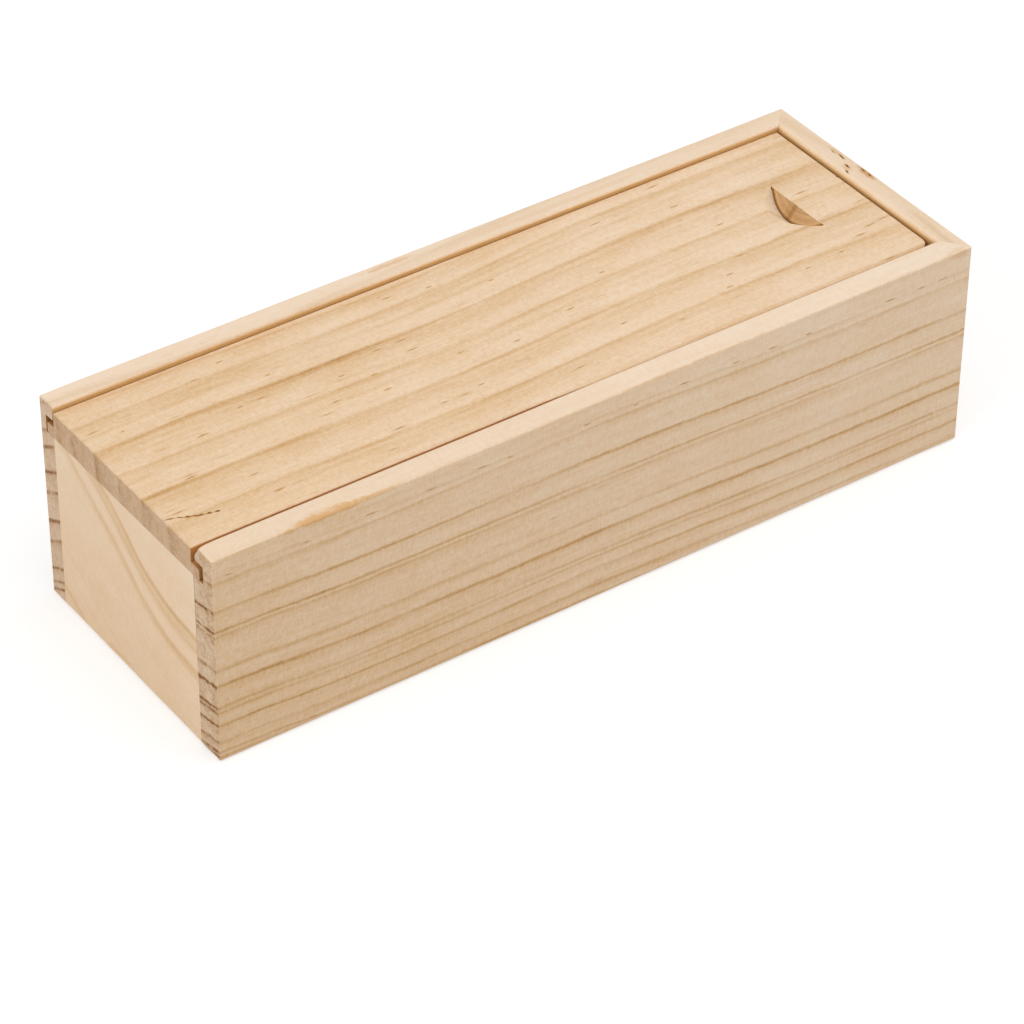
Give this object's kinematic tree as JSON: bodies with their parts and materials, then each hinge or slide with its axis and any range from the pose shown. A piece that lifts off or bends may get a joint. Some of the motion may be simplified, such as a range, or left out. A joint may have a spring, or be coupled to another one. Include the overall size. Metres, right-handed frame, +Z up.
{
  "type": "domino storage box",
  "caption": "Long, low box of plain wood for a set of dominoes, with a grooved rim and a lid that slides out over its low end, pushed by a slanted thumb notch.",
  "frame": {"origin": "middle of the underside, on the surface that the box stands on", "axes": "+X along the box from its low, open end to its high end; +Y across it; +Z up; the lid slides out towards -X"},
  "size_m": [0.2, 0.0694, 0.054],
  "materials": {
    "side_wood": "bare sanded pine",
    "end_wood": "bare sanded pine, finely planed",
    "base_wood": "bare thin panel",
    "lid_wood": "bare pine, sawn and lightly sanded"
  },
  "bodies": {
    "box": {"near_side_board": "side_wood", "far_side_board": "side_wood", "high_end_board": "side_wood", "low_end_board": "end_wood", "base_panel": "base_wood"},
    "lid": {"sliding_lid": "lid_wood"}
  },
  "joints": [
    {"name": "lid_slide", "type": "slide", "parent": "box", "child": "lid", "axis": [-1, 0, 0], "range_m": [0, 0.2]}
  ]
}
